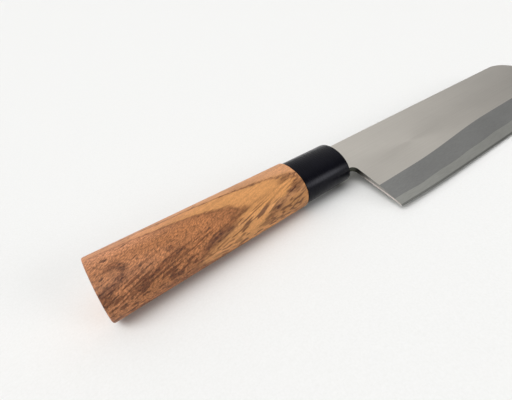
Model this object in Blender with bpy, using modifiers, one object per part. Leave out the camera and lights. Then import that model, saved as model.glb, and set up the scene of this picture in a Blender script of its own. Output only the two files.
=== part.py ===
"""Japanese vegetable knife: a laminated single-bevel blade in an oval hardwood handle.

The knife is drawn along its own axes, in metres. X runs from the butt to the tip along the
handle's axis, Y goes from the cutting edge to the spine, and Z comes out of the ground face of
the blade. An empty then lays all of it on a table, the way such a knife comes to rest: on the
butt, on the front of the ferrule and on the far end of the edge. The origin is the centre of the
butt face.
"""

import math

import bmesh
import bpy
from mathutils import Matrix, Vector

MM = 0.001

# Handle: two ovals set the wood's taper, and two smaller ones the ferrule's.
WOOD_LENGTH = 93.4 * MM
BUTT_HEIGHT = 29.6 * MM
BUTT_THICKNESS = 20.8 * MM
BUTT_ROUNDING = 0.8 * MM
JOINT_HEIGHT = 24.4 * MM
JOINT_THICKNESS = 19.8 * MM
JOINT_ROUNDING = 0.5 * MM
WOOD_OVAL_POWER = 2.24  # 2 is an ellipse, more is squarer

FERRULE_LENGTH = 26.6 * MM
FERRULE_HEIGHT = 24.1 * MM
FERRULE_THICKNESS = 19.0 * MM
FERRULE_ROUNDING = 0.15 * MM
MOUTH_HEIGHT = 23.7 * MM
MOUTH_THICKNESS = 17.5 * MM
MOUTH_ROUNDING = 0.3 * MM
MOUTH_WALL = 6.0 * MM
FERRULE_OVAL_POWER = 2.0

# Dowel that joins the ferrule to the wood and holds the tang.
DOWEL_DIAMETER = 14.0 * MM
DOWEL_IN_WOOD = 72.0 * MM
DOWEL_CHAMFER = 0.6 * MM
DRILL_POINT_ANGLE = math.radians(118)

# Tang, measured back from the shoulders that meet the ferrule.
TANG_LENGTH = 82.0 * MM
TANG_ROOT_HEIGHT = 11.0 * MM
TANG_END_HEIGHT = 6.0 * MM
TANG_ROOT_THICKNESS = 2.4 * MM
TANG_END_THICKNESS = 2.0 * MM
TANG_CHAMFER = 0.5 * MM
TANG_NOSE = 6.0 * MM
TANG_RELIEF = 3.0 * MM  # empty slot past the end of the tang
SEAL_WALL = 0.8 * MM
SEAL_ROUNDING = 0.6 * MM

# Blade outline, measured from the front of the ferrule.
NECK_LENGTH = 4.9 * MM
BLADE_LENGTH = 165.0 * MM
SPINE_HEIGHT = 9.4 * MM
SPINE_DROP = 1.9 * MM
SPINE_DROP_POWER = 1.2
NECK_UNDERSIDE = -9.15 * MM
NECK_FILLET = 2.9 * MM
CHOIL_LEAN = 0.062  # how much the choil leans back towards the handle, per length
EDGE_LEVEL = -41.15 * MM
HEEL_LIFT = 0.88 * MM
HEEL_LIFT_LENGTH = 31.0 * MM
HEEL_LIFT_POWER = 1.6
TIP_LIFT = 3.0 * MM
TIP_LIFT_LENGTH = 66.0 * MM
TIP_LIFT_POWER = 2.2
TIP_TOP_RADIUS = 16.0 * MM
TIP_BOTTOM_RADIUS = 2.5 * MM

# Blade section: the upper face tapers from spine to ridge and from neck to tip.
BACK_LEVEL = -1.3 * MM
SPINE_THICKNESS_NECK = 3.0 * MM
SPINE_THICKNESS_TIP = 2.3 * MM
RIDGE_THICKNESS_HEEL = 2.2 * MM
SPINE_CHAMFER = 0.3 * MM
RIDGE_LEVEL = -26.15 * MM
RIDGE_RISE = 3.3 * MM
RIDGE_RISE_START = 28.0 * MM
RIDGE_RISE_LENGTH = 70.0 * MM
EDGE_THICKNESS = 0.04 * MM
EDGE_BEVEL_WIDTH = 0.9 * MM
EDGE_BEVEL_ANGLE = math.radians(15)

# Hard steel, welded under the soft iron, and the hollow ground into its back.
STEEL_THICKNESS = 0.77 * MM
WELD_GAP = 0.02 * MM
WELD_WAVE = 0.025 * MM
WELD_WAVE_LENGTH = 27.0 * MM
STEEL_RISE_START = 3.0 * MM
STEEL_RISE_END = 15.0 * MM
STEEL_HEEL_TOP = -13.5 * MM
HOLLOW_DEPTH = 0.3 * MM
HOLLOW_EDGE_RIM = 2.5 * MM
HOLLOW_SPINE_RIM = 3.0 * MM
HOLLOW_HEEL_RIM = 4.0 * MM
HOLLOW_TIP_RIM = 4.0 * MM
HOLLOW_END_POWER = 6

SEAT_GAP = 0.3 * MM  # clearance between pieces that seat on each other

OVAL_SEGMENTS = 64
ROUND_SEGMENTS = 48
ROUNDING_STEPS = 5
CUT_OVERRUN = 3.0 * MM  # how far a cutter runs past the face that it opens

HANDLE_LENGTH = WOOD_LENGTH + FERRULE_LENGTH
TIP_X = NECK_LENGTH + BLADE_LENGTH
DOWEL_IN_FERRULE = FERRULE_LENGTH - MOUTH_WALL


def clear_scene():
    for item in list(bpy.data.objects):
        bpy.data.objects.remove(item)


def new_collection(name):
    collection = bpy.data.collections.new(name)
    bpy.context.scene.collection.children.link(collection)
    return collection


def new_material(name, colour, roughness, metallic=0.0):
    material = bpy.data.materials.new(name)
    material.use_nodes = True
    shader = material.node_tree.nodes["Principled BSDF"]
    shader.inputs["Base Color"].default_value = (*colour, 1.0)
    shader.inputs["Roughness"].default_value = roughness
    shader.inputs["Metallic"].default_value = metallic
    return material


def place(mesh_data, name, collection, parent, x=0.0, material=None):
    """Makes an object of the mesh, x along the knife, carried by the parent empty."""
    item = bpy.data.objects.new(name, mesh_data)
    collection.objects.link(item)
    item.parent = parent
    item.location.x = x
    if material:
        item.data.materials.append(material)
    else:
        item.hide_render = True
        item.display_type = "WIRE"
    return item


def cut(target, tool, operation="DIFFERENCE"):
    modifier = target.modifiers.new(tool.name, "BOOLEAN")
    modifier.operation = operation
    modifier.object = tool


def round_edges(item, radius):
    """Rounds a block's four long edges, which run along X."""
    bevel = item.modifiers.new("rounding", "BEVEL")
    bevel.limit_method = "WEIGHT"
    bevel.width = radius
    bevel.segments = ROUNDING_STEPS
    weights = item.data.attributes.new("bevel_weight_edge", "FLOAT", "EDGE")
    for edge in item.data.edges:
        near, far = (item.data.vertices[i].co for i in edge.vertices)
        weights.data[edge.index].value = 1.0 if abs(near.x - far.x) > SEAT_GAP else 0.0


def round_shading(item, angle=30):
    item.data.shade_smooth()
    item.data.set_sharp_from_angle(angle=math.radians(angle))


def loft(name, rings):
    """Skins a list of rings, all with as many points, and closes both ends."""
    shape = bmesh.new()
    loops = [[shape.verts.new(point) for point in ring] for ring in rings]
    for near, far in zip(loops, loops[1:]):
        for i in range(len(near)):
            j = (i + 1) % len(near)
            shape.faces.new((near[i], near[j], far[j], far[i]))
    shape.faces.new(reversed(loops[0]))
    shape.faces.new(loops[-1])
    bmesh.ops.triangulate(shape, faces=shape.faces)
    bmesh.ops.recalc_face_normals(shape, faces=shape.faces)
    mesh_data = bpy.data.meshes.new(name)
    shape.to_mesh(mesh_data)
    shape.free()
    return mesh_data


def turned(item, profile):
    """Turns a profile of (radius, x) points, from the far end to the near one, about the X axis."""
    points = [(radius, 0.0, x) for radius, x in profile]
    item.data.from_pydata(points, [(i, i + 1) for i in range(len(points) - 1)], [])
    item.rotation_euler.y = math.pi / 2
    screw = item.modifiers.new("turn", "SCREW")
    screw.axis = "Z"
    screw.steps = screw.render_steps = ROUND_SEGMENTS
    screw.use_merge_vertices = True
    screw.merge_threshold = 0.01 * MM


def flat_solid(name, outline, thickness):
    """Solid of a flat outline of (x, y) points, as thick above the XY plane as below it."""
    curve = bpy.data.curves.new(name, "CURVE")
    curve.dimensions = "2D"
    curve.fill_mode = "BOTH"
    curve.extrude = thickness / 2
    spline = curve.splines.new("POLY")
    spline.points.add(len(outline) - 1)
    for point, (x, y) in zip(spline.points, outline):
        point.co = (x, y, 0.0, 1.0)
    spline.use_cyclic_u = True
    guide = bpy.data.objects.new(name + "_guide", curve)
    bpy.context.scene.collection.objects.link(guide)
    bpy.context.view_layer.update()
    evaluated = guide.evaluated_get(bpy.context.evaluated_depsgraph_get())
    mesh_data = bpy.data.meshes.new_from_object(evaluated)
    bpy.data.objects.remove(guide)
    shape = bmesh.new()
    shape.from_mesh(mesh_data)
    bmesh.ops.remove_doubles(shape, verts=shape.verts, dist=0.001 * MM)
    bmesh.ops.recalc_face_normals(shape, faces=shape.faces)
    shape.to_mesh(mesh_data)
    shape.free()
    return mesh_data


def block(name, near, far, height, thickness):
    """Box along the X axis, centred on it."""
    shape = bmesh.new()
    bmesh.ops.create_cube(shape, size=1.0)
    bmesh.ops.scale(shape, vec=(far - near, height, thickness), verts=shape.verts)
    bmesh.ops.translate(shape, vec=((near + far) / 2, 0, 0), verts=shape.verts)
    mesh_data = bpy.data.meshes.new(name)
    shape.to_mesh(mesh_data)
    shape.free()
    return mesh_data


def oval(x, height, thickness, power):
    """Ring of a superellipse across the X axis."""
    ring = []
    for i in range(OVAL_SEGMENTS):
        angle = 2 * math.pi * i / OVAL_SEGMENTS
        c, s = math.cos(angle), math.sin(angle)
        y = math.copysign(abs(c) ** (2 / power), c) * height / 2
        z = math.copysign(abs(s) ** (2 / power), s) * thickness / 2
        ring.append(Vector((x, y, z)))
    return ring


def tapered_oval(start, end, length, roundings, power):
    """Rings of a tapered oval bar with both ends rounded over. start and end are (height, thickness)."""
    stations = []
    for near_end, radius in zip((True, False), roundings):
        for step in range(ROUNDING_STEPS + 1):
            angle = math.pi / 2 * step / ROUNDING_STEPS
            run = radius * (1 - math.cos(angle))
            stations.append((run if near_end else length - run, radius * (1 - math.sin(angle))))
    rings = []
    for x, inset in sorted(stations):
        height = start[0] + (end[0] - start[0]) * x / length - 2 * inset
        thickness = start[1] + (end[1] - start[1]) * x / length - 2 * inset
        rings.append(oval(x, height, thickness, power))
    return rings


def wood_rings():
    return tapered_oval((BUTT_HEIGHT, BUTT_THICKNESS), (JOINT_HEIGHT, JOINT_THICKNESS),
                        WOOD_LENGTH, (BUTT_ROUNDING, JOINT_ROUNDING), WOOD_OVAL_POWER)


def ferrule_rings():
    return tapered_oval((FERRULE_HEIGHT, FERRULE_THICKNESS), (MOUTH_HEIGHT, MOUTH_THICKNESS),
                        FERRULE_LENGTH - SEAT_GAP, (FERRULE_ROUNDING, MOUTH_ROUNDING),
                        FERRULE_OVAL_POWER)


def bar_section(x, height, thickness, chamfer):
    """Ring of a chamfered bar across the X axis."""
    y, z = height / 2, thickness / 2
    corners = [(y, z - chamfer), (y - chamfer, z), (chamfer - y, z), (-y, z - chamfer),
               (-y, chamfer - z), (chamfer - y, -z), (y - chamfer, -z), (y, chamfer - z)]
    return [Vector((x, across, up)) for across, up in corners]


def tang_size(x):
    """Height and thickness of the tang, x metres behind the front of the ferrule."""
    share = x / TANG_LENGTH
    height = TANG_ROOT_HEIGHT + (TANG_END_HEIGHT - TANG_ROOT_HEIGHT) * share
    thickness = TANG_ROOT_THICKNESS + (TANG_END_THICKNESS - TANG_ROOT_THICKNESS) * share
    return height, thickness


def tang_mesh():
    """Tapered tang with a blunt nose. Its root runs a little way into the neck."""
    height, thickness = tang_size(TANG_LENGTH)
    rings = [bar_section(-TANG_LENGTH, height / 2, thickness - TANG_CHAMFER, TANG_CHAMFER / 2)]
    for x in (TANG_LENGTH - TANG_NOSE, 0.0):
        rings.append(bar_section(-x, *tang_size(x), TANG_CHAMFER))
    rings.append(bar_section(NECK_LENGTH / 2, *tang_size(0.0), TANG_CHAMFER))
    return loft("tang", rings)


def slot_mesh():
    """The tang's own taper with room all round it, for the slot that takes it."""
    rings = []
    for x in (TANG_LENGTH + TANG_RELIEF, -CUT_OVERRUN):
        height, thickness = tang_size(x)
        rings.append(bar_section(-x, height + 2 * SEAT_GAP, thickness + 2 * SEAT_GAP, TANG_CHAMFER))
    return loft("tang_slot", rings)


def smooth_step(share):
    share = min(max(share, 0.0), 1.0)
    return (1 - math.cos(math.pi * share)) / 2


def corner_drop(x, radius):
    """How far a rounded corner at the tip has fallen away at x."""
    run = max(0.0, x - (TIP_X - radius))
    return radius - math.sqrt(max(0.0, radius ** 2 - run ** 2))


def spine_y(x):
    drop = SPINE_DROP * (max(x, 0.0) / TIP_X) ** SPINE_DROP_POWER
    return SPINE_HEIGHT - drop - corner_drop(x, TIP_TOP_RADIUS)


def edge_y(x):
    heel = max(0.0, NECK_LENGTH + HEEL_LIFT_LENGTH - x) / HEEL_LIFT_LENGTH
    tip = max(0.0, x - (TIP_X - TIP_LIFT_LENGTH)) / TIP_LIFT_LENGTH
    lift = HEEL_LIFT * heel ** HEEL_LIFT_POWER + TIP_LIFT * tip ** TIP_LIFT_POWER
    return EDGE_LEVEL + lift + corner_drop(x, TIP_BOTTOM_RADIUS)


def ridge_y(x):
    return RIDGE_LEVEL + RIDGE_RISE * smooth_step((x - RIDGE_RISE_START) / RIDGE_RISE_LENGTH)


def face_z(x, y):
    """Height of the flat face above the ridge, one plane from neck to tip."""
    along = (SPINE_THICKNESS_NECK - SPINE_THICKNESS_TIP) / TIP_X
    across = (SPINE_THICKNESS_NECK - RIDGE_THICKNESS_HEEL) / (SPINE_HEIGHT - RIDGE_LEVEL)
    return BACK_LEVEL + SPINE_THICKNESS_NECK - along * x - across * (SPINE_HEIGHT - y)


def blade_section(x):
    """Section of the blade at x, from the spine over the ground face to the edge and back."""
    spine, ridge, edge = spine_y(x), ridge_y(x), edge_y(x)
    inner = spine - SPINE_CHAMFER
    edge_top = BACK_LEVEL + EDGE_THICKNESS
    bevel_top = edge_top + EDGE_BEVEL_WIDTH * math.tan(EDGE_BEVEL_ANGLE)
    return [
        (x, spine, BACK_LEVEL + SPINE_CHAMFER),
        (x, spine, face_z(x, spine) - SPINE_CHAMFER),
        (x, inner, face_z(x, inner)),
        (x, ridge, face_z(x, ridge)),
        (x, edge + EDGE_BEVEL_WIDTH, bevel_top),
        (x, edge, edge_top),
        (x, edge, BACK_LEVEL),
        (x, inner, BACK_LEVEL),
    ]


def blade_stations():
    """Places along the blade, closer together where the tip's corners turn."""
    count = 40
    body_end = TIP_X - TIP_TOP_RADIUS
    stations = [SEAT_GAP + (body_end - SEAT_GAP) * i / count for i in range(count)]
    for radius, steps in ((TIP_TOP_RADIUS, 12), (TIP_BOTTOM_RADIUS, 6)):
        for i in range(steps + 1):
            stations.append(TIP_X - radius + radius * math.sin(math.pi / 2 * i / steps))
    stations.sort()
    kept = [stations[0]]
    for x in stations[1:]:
        if x - kept[-1] > 0.01 * MM:
            kept.append(x)
    return kept


def choil_outline():
    """The corner taken out between the neck's underside and the heel, with its inner fillet."""
    centre_x, centre_y = NECK_LENGTH - NECK_FILLET, NECK_UNDERSIDE - NECK_FILLET
    outline = [(-CUT_OVERRUN, NECK_UNDERSIDE)]
    steps = 2 * ROUNDING_STEPS
    for i in range(steps + 1):
        angle = math.pi / 2 * (1 - i / steps)
        outline.append((centre_x + NECK_FILLET * math.cos(angle),
                        centre_y + NECK_FILLET * math.sin(angle)))
    low = EDGE_LEVEL - CUT_OVERRUN
    outline.append((NECK_LENGTH - CHOIL_LEAN * (centre_y - low), low))
    outline.append((-CUT_OVERRUN, low))
    return outline


def weld_top(x):
    """Level of the weld, which wanders a little as a forged one does."""
    wave = math.sin(2 * math.pi * x / WELD_WAVE_LENGTH) + 0.5 * math.sin(5.1 * x / WELD_WAVE_LENGTH)
    return BACK_LEVEL + STEEL_THICKNESS + WELD_WAVE * wave


def steel_zone(name, grow):
    """Solid that holds the hard steel: under the weld, and only in front of the neck."""
    rings = []
    count = 90
    low_y, high_y = EDGE_LEVEL - CUT_OVERRUN, SPINE_HEIGHT + CUT_OVERRUN
    below = BACK_LEVEL - CUT_OVERRUN
    for i in range(count + 1):
        x = -CUT_OVERRUN + (TIP_X + 2 * CUT_OVERRUN) * i / count
        share = (x - STEEL_RISE_START) / (STEEL_RISE_END - STEEL_RISE_START)
        top_y = STEEL_HEEL_TOP + (high_y - STEEL_HEEL_TOP) * smooth_step(share) + grow
        top_z = weld_top(x) + grow
        rings.append([(x, low_y, below), (x, top_y, below), (x, top_y, top_z), (x, low_y, top_z)])
    return loft(name, rings)


def hollow_mesh():
    """Wheel-ground hollow of the back. It fades out to a flat rim all round."""
    low_x, high_x = NECK_LENGTH + HOLLOW_HEEL_RIM, TIP_X - HOLLOW_TIP_RIM
    low_y, high_y = EDGE_LEVEL + HOLLOW_EDGE_RIM, SPINE_HEIGHT - SPINE_DROP - HOLLOW_SPINE_RIM
    half_x, half_y = (high_x - low_x) / 2, (high_y - low_y) / 2
    below = BACK_LEVEL - CUT_OVERRUN
    along, across, past = 36, 14, 1.06
    rings = []
    for i in range(along + 1):
        u = past * (2 * i / along - 1)
        x = (low_x + high_x) / 2 + u * half_x
        ring = [(x, low_y + (1 - past) * half_y, below), (x, high_y + (past - 1) * half_y, below)]
        for j in range(across + 1):
            v = past * (1 - 2 * j / across)
            depth = HOLLOW_DEPTH * (1 - abs(u) ** HOLLOW_END_POWER - v ** 2)
            ring.append((x, (low_y + high_y) / 2 + v * half_y, BACK_LEVEL + depth))
        rings.append(ring)
    return loft("back_hollow", rings)


def resting_turn():
    """Rotation that lays the knife on a table, found from the three places that touch it."""
    butt = [point for point in wood_rings()[ROUNDING_STEPS]]
    mouth = [point + Vector((WOOD_LENGTH, 0, 0)) for point in ferrule_rings()[-1 - ROUNDING_STEPS]]
    edge = [Vector((HANDLE_LENGTH + x, edge_y(x), BACK_LEVEL)) for x in blade_stations()]
    up = Vector((0, 0, 1))
    for _ in range(50):
        lowest = [min(points, key=up.dot) for points in (butt, mouth, edge)]
        up = (lowest[1] - lowest[0]).cross(lowest[0] - lowest[2]).normalized()
        if up.z < 0:
            up.negate()
    along = (Vector((1, 0, 0)) - up * up.x).normalized()
    return Matrix((along, up.cross(along), up)).to_4x4()


def build_handle(parts, cutters, knife):
    wood_finish = new_material("oiled_hardwood", (0.46, 0.21, 0.08), 0.5)
    black_resin = new_material("black_resin", (0.008, 0.008, 0.01), 0.3)
    magnolia = new_material("magnolia", (0.62, 0.47, 0.28), 0.7)
    amber_resin = new_material("amber_resin", (0.10, 0.05, 0.02), 0.35)

    wood = place(loft("handle_wood", wood_rings()), "handle_wood", parts, knife, 0.0, wood_finish)
    ferrule = place(loft("ferrule", ferrule_rings()), "ferrule", parts, knife,
                    WOOD_LENGTH + SEAT_GAP, black_resin)

    radius = DOWEL_DIAMETER / 2
    near, far = WOOD_LENGTH - DOWEL_IN_WOOD, WOOD_LENGTH + DOWEL_IN_FERRULE
    dowel = place(bpy.data.meshes.new("handle_dowel"), "handle_dowel", parts, knife, 0.0, magnolia)
    turned(dowel, [(0, far), (radius - DOWEL_CHAMFER, far), (radius, far - DOWEL_CHAMFER),
                   (radius, near + DOWEL_CHAMFER), (radius - DOWEL_CHAMFER, near), (0, near)])

    bore = radius + SEAT_GAP
    drill_point = bore / math.tan(DRILL_POINT_ANGLE / 2)
    wood_bore = place(bpy.data.meshes.new("wood_bore"), "wood_bore", cutters, knife)
    turned(wood_bore, [(0, WOOD_LENGTH + CUT_OVERRUN), (bore, WOOD_LENGTH + CUT_OVERRUN),
                       (bore, near - SEAT_GAP), (0, near - SEAT_GAP - drill_point)])
    socket = place(bpy.data.meshes.new("ferrule_socket"), "ferrule_socket", cutters, knife)
    turned(socket, [(0, far + SEAT_GAP), (bore, far + SEAT_GAP),
                    (bore, WOOD_LENGTH - CUT_OVERRUN), (0, WOOD_LENGTH - CUT_OVERRUN)])

    slot = place(slot_mesh(), "tang_slot", cutters, knife, HANDLE_LENGTH)
    seal_height = TANG_ROOT_HEIGHT + 2 * (SEAT_GAP + SEAL_WALL)
    seal_thickness = TANG_ROOT_THICKNESS + 2 * (SEAT_GAP + SEAL_WALL)
    seal = place(block("tang_seal", SEAT_GAP - MOUTH_WALL, 0.0, seal_height, seal_thickness),
                 "tang_seal", parts, knife, HANDLE_LENGTH, amber_resin)
    mouth = place(block("mouth_opening", -MOUTH_WALL - CUT_OVERRUN, CUT_OVERRUN,
                        seal_height + 2 * SEAT_GAP, seal_thickness + 2 * SEAT_GAP),
                  "mouth_opening", cutters, knife, HANDLE_LENGTH)
    round_edges(seal, SEAL_ROUNDING)
    round_edges(mouth, SEAL_ROUNDING + SEAT_GAP)

    cut(wood, wood_bore)
    cut(ferrule, socket)
    cut(ferrule, mouth)
    cut(dowel, slot)
    cut(seal, slot)
    for item in (wood, ferrule, dowel):
        round_shading(item)


def build_blade(parts, cutters, knife):
    soft_iron = new_material("satin_soft_iron", (0.42, 0.40, 0.37), 0.35, 1.0)
    hard_steel = new_material("ground_hard_steel", (0.40, 0.40, 0.39), 0.3, 1.0)

    sections = [blade_section(x) for x in blade_stations()]
    iron = place(loft("blade_iron", sections), "blade_iron", parts, knife, HANDLE_LENGTH, soft_iron)
    steel = place(loft("blade_steel", sections), "blade_steel", parts, knife, HANDLE_LENGTH, hard_steel)

    depth = 2 * (SPINE_THICKNESS_NECK + CUT_OVERRUN)
    choil = place(flat_solid("choil_cut", choil_outline(), depth), "choil_cut",
                  cutters, knife, HANDLE_LENGTH)
    tang = place(tang_mesh(), "tang", cutters, knife, HANDLE_LENGTH)
    steel_room = place(steel_zone("steel_room", WELD_GAP), "steel_room", cutters, knife, HANDLE_LENGTH)
    steel_bed = place(steel_zone("steel_bed", 0.0), "steel_bed", cutters, knife, HANDLE_LENGTH)
    hollow = place(hollow_mesh(), "back_hollow", cutters, knife, HANDLE_LENGTH)

    cut(iron, choil)
    cut(iron, steel_room)
    cut(iron, tang, "UNION")
    cut(steel, choil)
    cut(steel, steel_bed, "INTERSECT")
    cut(steel, hollow)


def main():
    clear_scene()
    parts = new_collection("vegetable_knife")
    cutters = new_collection("cutters")
    knife = bpy.data.objects.new("knife_axes", None)
    parts.objects.link(knife)
    knife.matrix_world = resting_turn()
    build_handle(parts, cutters, knife)
    build_blade(parts, cutters, knife)


main()
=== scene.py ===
# %% [markdown]
# A Japanese vegetable knife lies on its side on a pale table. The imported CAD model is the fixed
# frame: its pieces are in metres, at their real places, and the knife lies on its butt and its
# edge. Everything in this file is dressed round that frame, so it is loaded first.

# %% Load the frame
import math

import bmesh
import bpy
from mathutils import Euler, Matrix, Vector


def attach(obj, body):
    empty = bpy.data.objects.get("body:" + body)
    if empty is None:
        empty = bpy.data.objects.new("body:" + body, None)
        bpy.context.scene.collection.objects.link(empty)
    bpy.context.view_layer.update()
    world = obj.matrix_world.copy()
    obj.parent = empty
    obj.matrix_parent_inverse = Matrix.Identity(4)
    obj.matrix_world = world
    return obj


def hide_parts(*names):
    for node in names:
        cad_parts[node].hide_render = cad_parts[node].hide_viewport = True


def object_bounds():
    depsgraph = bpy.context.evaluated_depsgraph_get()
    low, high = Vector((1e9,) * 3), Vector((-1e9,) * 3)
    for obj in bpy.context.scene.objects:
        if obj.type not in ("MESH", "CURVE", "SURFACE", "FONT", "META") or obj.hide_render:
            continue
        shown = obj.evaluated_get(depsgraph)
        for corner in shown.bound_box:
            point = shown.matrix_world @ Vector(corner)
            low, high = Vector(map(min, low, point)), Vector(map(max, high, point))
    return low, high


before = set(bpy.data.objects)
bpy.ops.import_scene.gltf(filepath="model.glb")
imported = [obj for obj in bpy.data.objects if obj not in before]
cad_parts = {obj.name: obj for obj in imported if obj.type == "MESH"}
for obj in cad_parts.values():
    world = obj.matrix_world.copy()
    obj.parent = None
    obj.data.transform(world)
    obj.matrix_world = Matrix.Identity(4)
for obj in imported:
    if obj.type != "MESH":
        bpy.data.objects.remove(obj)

CAD_BOX = [list(corner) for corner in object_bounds()]
print("CAD box in metres:", CAD_BOX)

# %% [markdown]
# Drawings of a knife are made along the knife, not along the table. These are the knife's own
# axes: x from the butt to the tip, y from the edge to the spine, z out of the face. On the table
# the knife turns by two small angles, because its spine stands higher than its edge and the thick
# butt lifts that end. The same turn, run backwards, gives materials the knife's own millimetres.

# %% The knife's own axes
MM = 0.001
SPINE_UP = math.radians(7.539)
NOSE_DOWN = math.radians(0.8502)
TURN = Euler((SPINE_UP, NOSE_DOWN, 0)).to_matrix()
PLACE = TURN.to_4x4() @ Matrix.Scale(MM, 4)
TURN_BACK = TURN.transposed().to_euler("XYZ")
FLOOR_LEVEL = CAD_BOX[0][2]
print("floor level in mm:", round(FLOOR_LEVEL / MM, 2))


def on_knife(x, y, z):
    """A point given in the knife's millimetres, as a place in the frame."""
    return PLACE @ Vector((x, y, z))


# %% [markdown]
# Node trees are written with one helper. It adds a node, sets its settings, and fills its sockets
# with plain values or with the output of another node, so that a chain reads from top to bottom.
# Colours are written as on a screen, in hex, and one function turns them to the linear values
# that Blender counts in. A Mix node has its A, its B and its result once for each kind of value,
# under the same names, so those sockets are filled and read by number.

# %% Helpers for node trees
FLOAT_A, FLOAT_B, VECTOR_A, VECTOR_B, COLOUR_A, COLOUR_B = range(2, 8)
FLOAT_MIX, VECTOR_MIX, COLOUR_MIX = range(3)


def add(tree, kind, inputs=(), stops=(), **settings):
    """Adds a node. inputs fills its sockets, in order or by name, with values, nodes or outputs.

    stops are a colour ramp's places, from 0 to 1, and hex colours.
    """
    node = tree.nodes.new(kind)
    for name, value in settings.items():
        setattr(node, name, value)
    for key, value in (inputs if isinstance(inputs, dict) else dict(enumerate(inputs))).items():
        if isinstance(value, bpy.types.Node):
            value = value.outputs[0]
        if isinstance(value, bpy.types.NodeSocket):
            tree.links.new(value, node.inputs[key])
        else:
            node.inputs[key].default_value = value
    for index, (place, colour) in enumerate(stops):
        if index >= len(node.color_ramp.elements):
            node.color_ramp.elements.new(1.0)
        node.color_ramp.elements[index].position = place
        node.color_ramp.elements[index].color = linear(colour)
    return node


def linear(hex_colour):
    """An sRGB hex colour as a linear colour with alpha 1."""
    parts = [int(hex_colour[start:start + 2], 16) / 255 for start in (1, 3, 5)]
    return [part / 12.92 if part <= 0.04045 else ((part + 0.055) / 1.055) ** 2.4 for part in parts] + [1.0]


print("middle grey, #808080, is", round(linear("#808080")[0], 3), "of full light")

# %% [markdown]
# The grip is one piece of hardwood, turned and sanded to a tapered oval, thicker at the butt. Its
# section isn't quite an ellipse but a little squarer. It could be modelled by hand from a cylinder
# with loops and bevels, but its shape follows a rule, and Geometry Nodes keep the rule: a cylinder's
# points are moved on to the oval of their place along the grip, with the ends pulled in where they
# are rounded over, and the dowel's hole is bored by a boolean. Sizes are in millimetres.

# %% Sizes of the grip
GRIP = {
    "Length": 93.4,
    "Butt Height": 29.6,
    "Butt Thickness": 20.8,
    "Butt Rounding": 0.8,
    "Joint Height": 24.4,
    "Joint Thickness": 19.8,
    "Joint Rounding": 0.5,
    "Oval Power": 2.24,
    "Bore Diameter": 14.6,
    "Bore Depth": 72.3,
}
SIDES, LOOPS, BORE_SIDES = 160, 150, 96
FLAT_END = 0.995  # a face that looks along the grip more than this is a flat end
TAPER = (GRIP["Butt Height"] - GRIP["Joint Height"]) / GRIP["Length"]
print("the grip's height falls by", round(100 * TAPER, 1), "mm in 100 mm")


# %% The grip's tree
def pulled_in(tree, distance, radius):
    """How far the side falls back, at this distance from an end that is rounded over."""
    short = add(tree, "ShaderNodeMath", [radius, distance], operation="SUBTRACT")
    inside = add(tree, "ShaderNodeMath", [short, 0.0], operation="MAXIMUM")
    share = add(tree, "ShaderNodeMath", [inside, radius], operation="DIVIDE")
    slope = add(tree, "ShaderNodeMath", [share], operation="ARCSINE")
    left = add(tree, "ShaderNodeMath", [slope], operation="COSINE")
    fallen = add(tree, "ShaderNodeMath", [1.0, left], operation="SUBTRACT")
    return add(tree, "ShaderNodeMath", [radius, fallen], operation="MULTIPLY")


def oval_side(tree, wave, angle, power, share, butt, joint, inset):
    """One coordinate of the oval: a cosine or sine made squarer, times half of the size there."""
    turned = add(tree, "ShaderNodeMath", [angle], operation=wave)
    plain = add(tree, "ShaderNodeMath", [turned], operation="ABSOLUTE")
    bulge = add(tree, "ShaderNodeMath", [plain, power], operation="POWER")
    side = add(tree, "ShaderNodeMath", [turned], operation="SIGN")
    signed = add(tree, "ShaderNodeMath", [side, bulge], operation="MULTIPLY")
    whole = add(tree, "ShaderNodeMapRange", {"Value": share, "To Min": butt, "To Max": joint})
    half = add(tree, "ShaderNodeMath", [whole, 0.5], operation="MULTIPLY")
    reach = add(tree, "ShaderNodeMath", [half, inset], operation="SUBTRACT")
    return add(tree, "ShaderNodeMath", [reach, signed], operation="MULTIPLY")


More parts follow.
